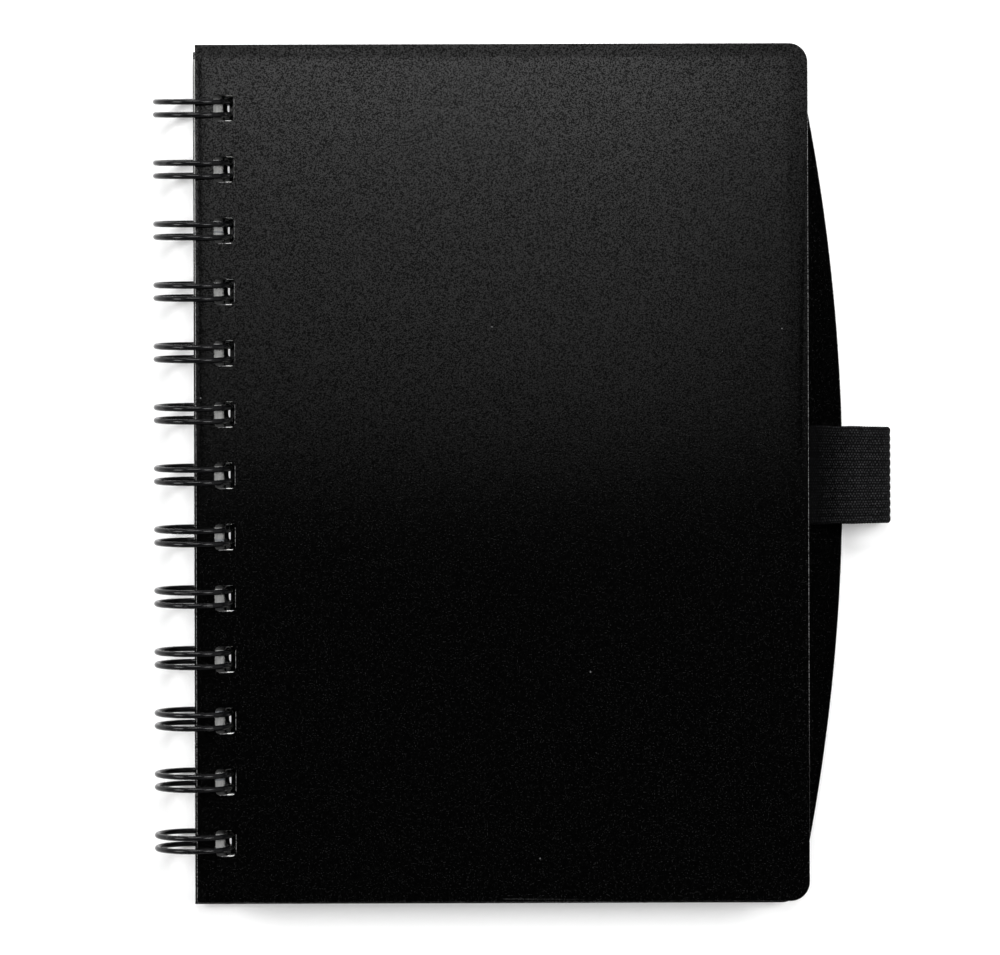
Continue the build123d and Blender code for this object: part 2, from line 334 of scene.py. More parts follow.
def grained_plastic(name, settings):
    """Sand-grained plastic: a smooth face with dull pits, faint flow marks, dust, and painted glints on the grain.
    """
    made, graph = material(name, tuple(settings.tint))
    place = graph.place()
    sand = graph.noise(place, settings.grain, detail=1.0, roughness=0.5)
    pits = graph.cells(place, settings.grain * 1.6)
    sparkle = graph.noise(place, settings.grain * 0.9, detail=0.0, stretch=(1.0, 1.0, 0.4))
    flow = graph.noise(place, 14 * MM, detail=1.0)
    smudge = graph.noise(place, 30 * MM, detail=3.0, roughness=0.6)
    speck = graph.cells(place, 12 * MM) < 0.014
    worn_and_lit = (graph.noise(place, 1.1 * MM, detail=2.0) > 0.66) * 0.15
    tint = tuple(settings.tint)
    light = tuple(min(1, 30 * c) for c in tint)
    # The sparkle spots are painted glints on the grain, lightening the base colour along with faint patches of
    # wear.
    base = graph.mix(worn_and_lit * 0.3 + sparkle.smooth(0.66, 0.8), tint, light)
    base = graph.mix(speck, base, (0.07, 0.07, 0.07))
    rough = 0.05 + sand * 0.03 + smudge * 0.02 + speck * 0.4
    fine = graph.bump(sand * 0.7 + pits * 0.5, 0.003 * MM)
    normal = graph.bump(flow, 0.006 * MM, normal=fine)
    named = {"Base Color": base, "Roughness": rough, "Normal": normal, "IOR": 1.5}
    face = graph.add("ShaderNodeBsdfPrincipled", inputs=named)
    named = {"Base Color": base, "Roughness": 1.0, "Specular IOR Level": 0.0}
    pit = graph.add("ShaderNodeBsdfPrincipled", inputs=named)
    depth = sand.smooth(0.41, 0.6) * settings.pitting
    both = graph.add("ShaderNodeMixShader", inputs={"Fac": depth, 1: face, 2: pit})
    graph.add("ShaderNodeOutputMaterial", inputs={"Surface": both})
    return made


def wire_enamel(name, settings):
    """Black coating over steel wire, glossy, with fine rubs along the strands."""
    made, graph = material(name, tuple(settings.tint))
    place = graph.place()
    peel = graph.noise(place, 0.5 * MM, detail=2.0)
    rub_and_shade = graph.noise(place, 0.12 * MM, detail=3.0, stretch=(0.2, 3.0, 0.2))
    scuff = graph.noise(place, 3.0 * MM, detail=3.0).smooth(0.62, 0.72)
    tint = tuple(settings.tint)
    base = graph.mix(scuff * rub_and_shade * 0.6, tint, (0.05, 0.05, 0.05))
    rough = 0.14 + peel * 0.1 + scuff * rub_and_shade * 0.3
    normal = graph.bump(peel + rub_and_shade * 0.3, 0.006 * MM)
    surface(graph, Base_Color=base, Roughness=rough, Normal=normal, IOR=1.25)
    return made


def hole_offset(y):
    """How far along the spine a shader's y is from the nearest hole's middle."""
    scene = bpy.context.scene
    pitch = scene.notebook_punch.pitch
    first = hole_rows(scene)[0]
    return abs(((y - first) / pitch + 0.5).wrap() - 0.5) * pitch


def writing_paper(name, settings):
    """Uncoated paper with pale rules, soft fibres, and edges that tell apart; painted shade greys the spine strip
    and the ends of the holes.
    """
    made, graph = material(name, tuple(settings.tint))
    place = graph.place()
    x, y, _ = graph.axes(place)
    fibre = graph.noise(place, 0.25 * MM, detail=4.0, roughness=0.7)
    cloud = graph.noise(place, 6 * MM, detail=2.0)
    leaf = graph.noise(place, 0.16 * MM, detail=0.0, stretch=(0.01, 0.01, 1)).smooth(0.35, 0.65)
    head = SHEET_BOX[1].y - 15 * MM
    across = abs(((y - head) / settings.ruling).wrap() - 0.5) > 0.479
    ruled = across * (y < head + settings.ruling * 0.5) * (y > SHEET_BOX[0].y + 7 * MM)
    tint = tuple(settings.tint)
    shade = tuple(0.72 * c for c in tint)
    base = graph.mix(fibre * 0.3 + cloud * 0.15 + leaf * 0.5, tint, shade)
    base = graph.mix(ruled * 0.85, base, (0.24, 0.27, 0.32))
    # Painted shade: the strip from the spine edge to the holes is greyed, fading out over 1.6 mm at the holes.
    shaded = (1 - (x - AXIS.x).smooth(5.6 * MM, 7.2 * MM)) * (0.75 + fibre * 0.5)
    base = graph.mix(shaded * settings.rub_and_shade, base, (0.12, 0.12, 0.12))
    beside = hole_offset(y)
    # Painted shade: near-black patches on the paper at the head and tail ends of each hole, outside the wire's
    # strands.
    painted_hole_shade = (x > AXIS.x + 4.3 * MM) * (x < AXIS.x + 7 * MM) * (abs(y) < WIRE_BOX[1].y)
    painted_hole_shade = painted_hole_shade * (beside > 1.9 * MM) * (beside < 3 * MM)
    base = graph.mix(painted_hole_shade * 0.9, base, (0.02, 0.02, 0.02))
    normal = graph.bump(fibre, 0.012 * MM)
    surface(graph, Base_Color=base, Roughness=0.85 + fibre * 0.1, Normal=normal)
    return made


def woven_yarn(name, settings):
    """Textured yarn: fine twisted filaments, with painted highlights on the crowns of the weave and painted shadow
    by the front cover's edge.
    """
    made, graph = material(name, tuple(settings.tint))
    along = graph.add("ShaderNodeUVMap", {"uv_map": "band"})
    u, v, _ = graph.axes(along)
    place = graph.place()
    x, _, _ = graph.axes(place)
    hair = graph.noise(place, 0.3 * MM, detail=2.0, roughness=0.7)
    wear = graph.noise(place, 2.5 * MM, detail=2.0)
    across = v / settings.rib
    row = (across * 3).whole()
    tick = (u / settings.pick + row * 0.5 + hair * 0.25).wrap()
    knot = 1 - (abs(tick - 0.5) * 2).smooth(0.3, 0.8)
    knot = knot * (1 - (abs((across * 3).wrap() - 0.5) * 2).smooth(0.3, 0.95))
    groove = (abs(across.wrap() - 0.5) * 2).smooth(0.55, 0.95)
    # Painted shadow of the front cover's edge: dimmest at the edge, gone 6 mm past it.
    shade = 0.12 + (x - FRONT_BOX[1].x).smooth(0.5 * MM, 6 * MM) * 0.88
    tint = tuple(settings.tint)
    # Painted highlights on the crowns of the weave, dimmed in the grooves between ribs and in the cover's painted
    # shadow.
    bright = knot * hair.smooth(0.38, 0.66) * (1 - groove * 0.75) * shade
    base = graph.mix(bright + wear * 0.05, tint, tuple(settings.highlight))
    normal = graph.bump(hair * 0.6 + knot * 0.4, 0.04 * MM)
    surface(
        graph,
        Base_Color=base,
        Roughness=0.78 + hair * 0.15,
        Normal=normal,
        Specular_IOR_Level=0.02,
    )
    return made


def sewing_thread(name, tint):
    """Spun polyester thread with its plies."""
    made, graph = material(name, tint)
    place = graph.place()
    hair = graph.noise(place, 0.07 * MM, detail=3.0)
    x, y, z = graph.axes(place)
    ply = ((x + y + z) * (2 * math.pi / (0.2 * MM))).sine()
    base = graph.mix(hair * 0.6 + ply * 0.2, tint, (0.07, 0.07, 0.07))
    normal = graph.bump(ply * 0.5 + hair * 0.5, 0.03 * MM)
    surface(graph, Base_Color=base, Roughness=0.7 + hair * 0.2, Normal=normal)
    return made


# ---- mesh helpers ----------------------------------------------------------


def new_object(name, mesh):
    made = bpy.data.objects.new(name, mesh)
    bpy.context.scene.collection.objects.link(made)
    return made


def mesh_from(name, points, faces, smooth=False):
    mesh = bpy.data.meshes.new(name)
    mesh.from_pydata([tuple(p) for p in points], [], [tuple(f) for f in faces])
    mesh.validate()
    mesh.polygons.foreach_set("use_smooth", [smooth] * len(mesh.polygons))
    return mesh


def smooth_by_angle(mesh, degrees):
    """Smooth shading that breaks at edges sharper than the angle."""
    mesh.polygons.foreach_set("use_smooth", [True] * len(mesh.polygons))
    mesh.set_sharp_from_angle(angle=math.radians(degrees))


def rounded(points, radii, step):
    """An open or closed line through points, its corners turned into arcs.
    radii has one radius for each point, 0 to keep a corner sharp."""
    line = []
    count = len(points)
    for i in range(count):
        here = Vector(points[i])
        radius = radii[i]
        if radius == 0:
            line.append(here)
            continue
        before = (Vector(points[i - 1]) - here).normalized()
        after = (Vector(points[(i + 1) % count]) - here).normalized()
        half = before.angle(after) / 2
        reach = radius / math.tan(half)
        centre = here + (before + after).normalized() * (radius / math.sin(half))
        start = here + before * reach - centre
        turn = math.pi - 2 * half
        pieces = max(2, math.ceil(radius * turn / step))
        side = (here + after * reach - centre) - start * math.cos(turn)
        side = side / math.sin(turn)
        for k in range(pieces + 1):
            angle = turn * k / pieces
            line.append(centre + start * math.cos(angle) + side * math.sin(angle))
    return line


def rounded_flat(points, radii, step):
    """The same, as 2-D vectors."""
    return [Vector(p).to_2d() for p in rounded(points, radii, step)]


def rectangle(x0, x1, y0, y1):
    """Anticlockwise from the low corner."""
    return [(x0, y0), (x1, y0), (x1, y1), (x0, y1)]


def inset(loop, distance):
    """A closed anticlockwise loop moved inwards (outwards where negative)."""
    moved = []
    for i, here in enumerate(loop):
        before = (here - loop[i - 1]).normalized()
        after = (loop[(i + 1) % len(loop)] - here).normalized()
        normal = Vector((-before.y - after.y, before.x + after.x)).normalized()
        stretch = max(0.5, normal.dot(Vector((-before.y, before.x))))
        moved.append(here + normal * (distance / stretch))
    return moved


def contains(loop, point):
    inside = False
    for i, here in enumerate(loop):
        last = loop[i - 1]
        if (here.y > point.y) != (last.y > point.y):
            cross = last.x + (point.y - last.y) * (here.x - last.x) / (here.y - last.y)
            inside ^= point.x < cross
    return inside


def plate(outline, holes, bottom, thickness, edge=0.0, lines=((), ()), height=None):
    """A flat leaf with punched holes and rounded cut edges, as points and faces.

    lines are the x and y values of a grid that the flat faces follow, and
    height(x, y) lifts the whole leaf there."""
    if edge > 0:
        steps = [(1.0, 0.0), (0.3, 0.3), (0.0, 1.0)]
        section = [(edge * a, edge * b) for a, b in steps]
        section += [(a, thickness - b) for a, b in reversed(section)]
    else:
        section = [(0.0, 0.0), (0.0, thickness)]
    loops = [(outline, 1)] + [(hole, -1) for hole in holes]
    points = []
    faces = []
    rims = []
    for loop, sign in loops:
        rows = []
        for inward, up in section:
            rows.append(range(len(points), len(points) + len(loop)))
            for p in inset(loop, sign * inward) if inward else loop:
                points.append(Vector((p.x, p.y, bottom + up)))
        for low, high in zip(rows, rows[1:]):
            for i in range(len(loop)):
                quad = (low[i - 1], low[i], high[i], high[i - 1])
                faces.append(quad if sign > 0 else tuple(reversed(quad)))
        rims.append((rows[0], rows[-1]))

    flat = []
    constraints = []
    for (low, _), (loop, sign) in zip(rims, loops):
        first = len(flat)
        flat += [Vector((points[i].x, points[i].y)) for i in low]
        constraints += [(first + i, first + (i + 1) % len(low)) for i in range(len(low))]
    rim_count = len(flat)
    keep_off = 0.25 * MM
    border = inset(outline, edge + keep_off)
    gaps = [inset(hole, -edge - keep_off) for hole in holes]
    for x in lines[0]:
        for y in lines[1]:
            p = Vector((x, y))
            near_hole = any(abs(p.x - g[0].x) < HOLE_REACH and contains(g, p) for g in gaps)
            if contains(border, p) and not near_hole:
                flat.append(p)
    cdt = delaunay_2d_cdt(flat, constraints, [], 0, 1e-7)
    corners, triangles, origins = cdt[0], cdt[2], cdt[3]
    low_of = {}
    high_of = {}
    flat_low = [i for low, _ in rims for i in low]
    flat_high = [i for _, high in rims for i in high]
    for index, sources in enumerate(origins):
        on_rim = [s for s in sources if s < rim_count]
        if on_rim:
            low_of[index] = flat_low[on_rim[0]]
            high_of[index] = flat_high[on_rim[0]]
        else:
            low_of[index] = len(points)
            points.append(Vector((*corners[index], bottom)))
            high_of[index] = len(points)
            points.append(Vector((*corners[index], bottom + thickness)))
    for triangle in triangles:
        middle = sum((Vector(corners[i]) for i in triangle), Vector((0, 0))) / 3
        if not contains([Vector(p) for p in flat[: len(outline)]], middle):
            continue
        at_holes = any(
            abs(middle.x - hole[0].x) < HOLE_REACH
            and abs(middle.y - hole[0].y) < HOLE_REACH
            and contains(hole, middle)
            for hole in holes
        )
        if at_holes:
            continue
        faces.append([high_of[i] for i in triangle])
        faces.append([low_of[i] for i in reversed(triangle)])
    if height:
        for p in points:
            p.z += height(p.x, p.y)
    return points, faces


def spread(low, high, step):
    count = max(1, round((high - low) / step))
    return [low + (high - low) * i / count for i in range(count + 1)]


def run_tree(target, tree, **inputs):
    """Runs a geometry tree on an object once and keeps the plain mesh."""
    modifier = target.modifiers.new("build", "NODES")
    modifier.node_group = tree
    for item in tree.interface.items_tree:
        if item.in_out == "INPUT" and item.name in inputs:
            modifier[item.identifier] = inputs[item.name]
    target.update_tag()
    graph = bpy.context.evaluated_depsgraph_get()
    mesh = bpy.data.meshes.new_from_object(target.evaluated_get(graph), depsgraph=graph)
    target.modifiers.remove(modifier)
    target.data = mesh
    mesh.name = target.name
    return target


def geometry_tree(name, **kinds):
    """An empty geometry tree with named inputs; returns its Graph and inputs."""
    tree = bpy.data.node_groups.new(name, "GeometryNodeTree")
    tree.interface.new_socket("Geometry", in_out="OUTPUT", socket_type="NodeSocketGeometry")
    tree.interface.new_socket("Geometry", in_out="INPUT", socket_type="NodeSocketGeometry")
    for label, kind in kinds.items():
        tree.interface.new_socket(label, in_out="INPUT", socket_type=kind)
    graph = Graph(tree)
    first = graph.add("NodeGroupInput", output="Geometry")
    ports = {label: graph.also(first, label) for label in kinds}
    ports["Geometry"] = first
    return graph, ports


def close_tree(graph, geometry, finish):
    real = graph.add("GeometryNodeRealizeInstances", inputs={"Geometry": geometry})
    inputs = {"Geometry": real, "Material": finish}
    done = graph.add("GeometryNodeSetMaterial", inputs=inputs)
    graph.add("NodeGroupOutput", inputs={"Geometry": done})


def tube_tree(name, sides, finish):
    """A round tube along each line of the mesh that it is given."""
    graph, ports = geometry_tree(name, Radius="NodeSocketFloat")
    line = graph.add("GeometryNodeMeshToCurve", inputs={"Mesh": ports["Geometry"]})
    circle = graph.add(
        "GeometryNodeCurvePrimitiveCircle", inputs={"Resolution": sides, "Radius": ports["Radius"]}
    )
    inputs = {"Curve": line, "Profile Curve": circle, "Fill Caps": True}
    tube = graph.add("GeometryNodeCurveToMesh", inputs=inputs)
    smooth = graph.add("GeometryNodeSetShadeSmooth", inputs={"Geometry": tube})
    close_tree(graph, smooth, finish)
    return graph.tree


def stack_tree(name, finish):
    """One blank on each point, each a little out of line with the next."""
    graph, ports = geometry_tree(
        name, Blank="NodeSocketObject", Jitter="NodeSocketFloat", Seed="NodeSocketInt"
    )
    inputs = {"Object": ports["Blank"]}
    blank = graph.add("GeometryNodeObjectInfo", inputs=inputs, output="Geometry")
    slip = graph.add("ShaderNodeCombineXYZ", inputs={0: ports["Jitter"], 1: ports["Jitter"]})
    back = graph.add("ShaderNodeVectorMath", {"operation": "SCALE"}, {0: slip, "Scale": -1.0})
    inputs = {0: back, 1: slip, "Seed": ports["Seed"]}
    move = graph.add("FunctionNodeRandomValue", {"data_type": "FLOAT_VECTOR"}, inputs)
    inputs = {"Geometry": ports["Geometry"], "Offset": move}
    loose = graph.add("GeometryNodeSetPosition", inputs=inputs)
    inputs = {"Points": loose, "Instance": blank}
    stacked = graph.add("GeometryNodeInstanceOnPoints", inputs=inputs)
    close_tree(graph, stacked, finish)
    return graph.tree


def finish_piece(piece, body, slot, *replaced):
    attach(piece, body)
    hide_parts(*replaced)


# ---- leaves ----------------------------------------------------------------


def hole_rows(scene):
    """The y of each hole's middle."""
    punch = scene.notebook_punch
    middle = (WIRE_BOX[0].y + WIRE_BOX[1].y) / 2 - scene.notebook_wire.shift
    half = (punch.count - 1) / 2
    return [middle + (i - half) * punch.pitch for i in range(punch.count)]


def punch_loops(scene, spine_x, margin, corner):
    punch = scene.notebook_punch
    x0 = spine_x + margin
    loops = []
    for y in hole_rows(scene):
        square = rectangle(x0, x0 + punch.width, y - punch.height / 2, y + punch.height / 2)
        loops.append(rounded_flat(square, [corner] * 4, HOLE_STEP))
    return loops


def smoothstep(value, low, high):
    t = min(1, max(0, (value - low) / (high - low)))
    return t * t * (3 - 2 * t)


def make_cover(name, box, outline, holes, grid, height, edge):
    """A plastic cover that rides with, and stands for, its CAD node."""
    low, high = box
    points, faces = plate(outline, holes, low.z, high.z - low.z, edge, grid, height)
    mesh = mesh_from(f"{name}_shell", points, faces)
    smooth_by_angle(mesh, CREASE)
    mesh.materials.append(bpy.data.materials["black_plastic"])
    finish_piece(new_object(f"{name}_shell", mesh), name, "cover_plastic", name)


class NOTEBOOK_OT_front_cover(bpy.types.Operator):
    """Builds the front cover, whose rim sinks a little past the sheets"""

    bl_idname = "notebook.front_cover"
    bl_label = "Front cover"

    def execute(self, context):
        scene = context.scene
        cover = scene.notebook_cover
        low, high = FRONT_BOX
        square = rectangle(low.x, high.x, low.y, high.y)
        radii = [0, cover.corner, cover.corner, 0]
        outline = rounded_flat(square, radii, COVER_STEP)
        punch = scene.notebook_punch
        holes = punch_loops(scene, low.x, punch.margin, punch.corner)

        rim_lead = 0.3 * MM
        rim_width = 2.4 * MM
        near_rim = (-0.5, -0.1, 0.4)

        def height(x, y):
            past = max(x - SHEET_BOX[1].x, y - SHEET_BOX[1].y, SHEET_BOX[0].y - y)
            rim = max(0.0, past + rim_lead)
            droop = -cover.droop * rim / rim_width
            wave = math.sin(34 * x + 1.1) * math.sin(21 * y + 0.4) + 0.5 * math.sin(57 * x - 38 * y)
            calm = smoothstep(x, low.x + 9 * MM, low.x + 25 * MM)
            return droop + cover.warp * 0.5 * wave * calm

        rim_x = [SHEET_BOX[1].x + d * MM for d in (*near_rim, 1.4, 2.4)]
        rim_y = [SHEET_BOX[1].y + d * MM for d in (*near_rim, 1.2)]
        rim_y += [SHEET_BOX[0].y - d * MM for d in (*near_rim, 1.2)]
        xs = spread(low.x + 1 * MM, SHEET_BOX[1].x - 2 * MM, 3 * MM) + rim_x
        ys = spread(SHEET_BOX[0].y + 2 * MM, SHEET_BOX[1].y - 2 * MM, 3 * MM) + rim_y
        make_cover("front_cover", FRONT_BOX, outline, holes, (xs, ys), height, cover.edge)
        return {"FINISHED"}


class NOTEBOOK_OT_rear_cover(bpy.types.Operator):
    """Builds the rear cover, whose fore-edge is a long curved flap"""

    bl_idname = "notebook.rear_cover"
    bl_label = "Rear cover"

    def execute(self, context):
        scene = context.scene
        cover = scene.notebook_cover
        low, high = REAR_BOX
        corner_x = FRONT_BOX[1].x - cover.flap_tuck
        apex = Vector((high.x, (low.y + high.y) / 2 - cover.flap_shift))
        ends = [Vector((corner_x, low.y)), Vector((corner_x, high.y))]
        centre = self.centre(ends[0], apex, ends[1])
        radius = (apex - centre).length
        first = math.atan2(*reversed(ends[0] - centre))
        last = math.atan2(*reversed(ends[1] - centre))
        arc_steps = 90
        arc = []
        for i in range(1, arc_steps):
            angle = first + (last - first) * i / arc_steps
            arc.append(centre + radius * Vector((math.cos(angle), math.sin(angle))))
        clear = 1.15 * cover.corner
        arc = [p for p in arc if low.y + clear < p.y < high.y - clear]
        points = [(low.x, low.y), (corner_x, low.y), *[tuple(p) for p in arc]]
        points += [(corner_x, high.y), (low.x, high.y)]
        radii = [0, cover.corner, *[0] * len(arc), cover.corner, 0]
        outline = rounded_flat(points, radii, COVER_STEP)
        punch = scene.notebook_punch
        holes = punch_loops(scene, low.x, punch.rear_margin, punch.corner)
        xs = spread(low.x + 2 * MM, high.x - 2 * MM, 6 * MM)
        ys = spread(low.y + 2 * MM, high.y - 2 * MM, 6 * MM)
        xs += [FRONT_BOX[1].x + d * MM for d in (-3, -2, -1, 0)]
        band_y = (BAND_BOX[0].y + BAND_BOX[1].y) / 2
        beside = (BAND_BOX[1].y - BAND_BOX[0].y) / 2
        for side in (-1, 1):
            ys += [band_y + side * (beside + d * MM) for d in (-2.5, -1.7, -0.9, 0.0)]

        def height(x, y):
            past = max(0.0, x - FRONT_BOX[1].x + 2 * MM)
            clear = smoothstep(abs(y - band_y), beside - 2.5 * MM, beside)
            return -cover.flap_sag * past * clear

        make_cover("rear_cover", REAR_BOX, outline, holes, (xs, ys), height, cover.edge)
        return {"FINISHED"}

    @staticmethod
    def centre(a, b, c):
        """The centre of the circle through three points."""
        ab, ac = b - a, c - a
        cross = 2 * (ab.x * ac.y - ab.y * ac.x)
        x = (ac.y * ab.length_squared - ab.y * ac.length_squared) / cross
        y = (ab.x * ac.length_squared - ac.x * ab.length_squared) / cross
        return a + Vector((x, y))


class NOTEBOOK_OT_sheets(bpy.types.Operator):
    """Stacks the paper, one sheet for each sheet of the frame"""

    bl_idname = "notebook.sheets"
    bl_label = "Sheets"

    def execute(self, context):
        scene = context.scene
        settings = scene.notebook_sheet
        low, high = SHEET_BOX
        blank = self.blank(scene, high.x - low.x, high.y - low.y)
        tree = stack_tree("sheet_stack", bpy.data.materials["white_paper"])
        stacks = [
            ("first_sheet_paper", "first_sheet", ["first_sheet"], 0.0, 1),
            ("upper_stack", "upper_sheets", UPPER_GROUPS, settings.jitter, 2),
            ("lower_stack", "lower_sheets", LOWER_GROUPS, settings.jitter, 3),
        ]
        for name, body, groups, jitter, seed in stacks:
            places = [p for group in groups for p in self.places(group)]
            piece = new_object(name, mesh_from(name, places, []))
            run_tree(piece, tree, Blank=blank, Jitter=jitter, Seed=seed)
            if name == "lower_stack":
                self.turn(piece.data, settings.twist, Vector((AXIS.x, (low.y + high.y) / 2, 0)))
            finish_piece(piece, body, "paper", *groups)
        bpy.data.objects.remove(blank)
        return {"FINISHED"}

    @staticmethod
    def blank(scene, width, height):
        """One sheet with its spine corner at the origin."""
        settings = scene.notebook_sheet
        square = rectangle(0, width, 0, height)
        radii = [0, settings.corner, settings.corner, 0]
        outline = rounded_flat(square, radii, SHEET_STEP)
        margin = scene.notebook_punch.margin
        foot = Vector((0, SHEET_BOX[0].y))
        holes = [[p - foot for p in loop] for loop in punch_loops(scene, 0, margin, 0)]
        points, faces = plate(outline, holes, 0, settings.thickness)
        return new_object("blank", mesh_from("blank", points, faces))

    @staticmethod
    def turn(mesh, angle, centre):
        turned = Matrix.Rotation(angle, 4, "Z")
        mesh.transform(Matrix.Translation(centre) @ turned @ Matrix.Translation(-centre))

    @staticmethod
    def places(group):
        """The spine corner of each sheet of a CAD group, lowest first."""
        nearest = {}
        for vertex in frame["nodes"][group].data.vertices:
            level = round(vertex.co.z / (0.01 * MM))
            nearest[level] = min(nearest.get(level, 1.0), vertex.co.x)
        undersides = sorted(nearest)[::2]
        return [(nearest[level], SHEET_BOX[0].y, level * 0.01 * MM) for level in undersides]


# ---- wire ------------------------------------------------------------------


class NOTEBOOK_OT_wire(bpy.types.Operator):
    """Bends the one wire round every loop and runs a tube along it"""

    bl_idname = "notebook.wire"
    bl_label = "Binding wire"

    def execute(self, context):
        scene = context.scene
        wire = scene.notebook_wire
        line = []
        for y in hole_rows(scene):
            line += self.one_loop(wire, y + wire.shift)
        stub = Vector((0, wire.stub, 0))
        line = [line[0] - stub, *line, line[-1] + stub]
        mesh = bpy.data.meshes.new("wire_strand")
        mesh.from_pydata([tuple(p) for p in line], [(i, i + 1) for i in range(len(line) - 1)], [])
        piece = new_object("wire_strand", mesh)
        tree = tube_tree("wire_tube", wire.sides, bpy.data.materials["black_enamel"])
        run_tree(piece, tree, Radius=wire.diameter / 2)
        finish_piece(piece, "rear_cover", "wire_enamel", "binding_wire")
        return {"FINISHED"}

    @staticmethod
    def one_loop(wire, y):
        """Points from one link to the next: down the near strand and back."""
        radius = OUTER_RADIUS - wire.diameter / 2
        tilt = math.asin(wire.skew / (2 * radius))
        link_reach = math.hypot(radius, wire.base_bend) * math.cos(tilt)
        link_z = REAR_BOX[1].z + wire.link_gap + wire.diameter / 2
        link = math.asin((link_z - AXIS.z) / link_reach)
        start = link - math.atan(wire.base_bend / radius)
        end = link + wire.tip_gap / radius + math.atan(wire.tip_bend / radius) - 2 * math.pi
        near = y - wire.spacing / 2

        def on_loop(angle, strand_y):
            up = radius * math.sin(angle)
            out = radius * math.cos(angle)
            return AXIS_LINE + Vector((out, strand_y - up * math.sin(tilt), up * math.cos(tilt)))

        def inward(angle):
            back = -math.cos(angle)
            return Vector((math.sin(angle), -back * math.sin(tilt), back * math.cos(tilt)))

        def corner(point, direction, side, depth):
            """Points of the arc from a line along side into the strand."""
            turn = direction.angle(side)
            bend = depth / (1 - math.cos(turn))
            normal = (direction - side * math.cos(turn)).normalized()
            first = point - side * (bend * math.sin(turn)) - normal * depth
            arc = []
            for k in range(wire.bend_steps):
                a = turn * k / wire.bend_steps
                rise = normal * (bend * (1 - math.cos(a)))
                arc.append(first + side * (bend * math.sin(a)) + rise)
            return arc

        side = Vector((0, 1, 0))
        steps = wire.loop_steps
        turns = [start + (end - start) * i / steps for i in range(steps + 1)]
        near_strand = [on_loop(a, near) for a in turns]
        far_strand = [on_loop(a, near + wire.spacing) for a in reversed(turns)]
        points = corner(near_strand[0], inward(start), side, wire.base_bend)
        points += near_strand
        points += reversed(corner(near_strand[-1], -inward(end), -side, wire.tip_bend))
        points += corner(far_strand[0], -inward(end), side, wire.tip_bend)
        points += far_strand
        points += reversed(corner(far_strand[-1], inward(start), -side, wire.base_bend))
        return points


# ---- pen loop --------------------------------------------------------------


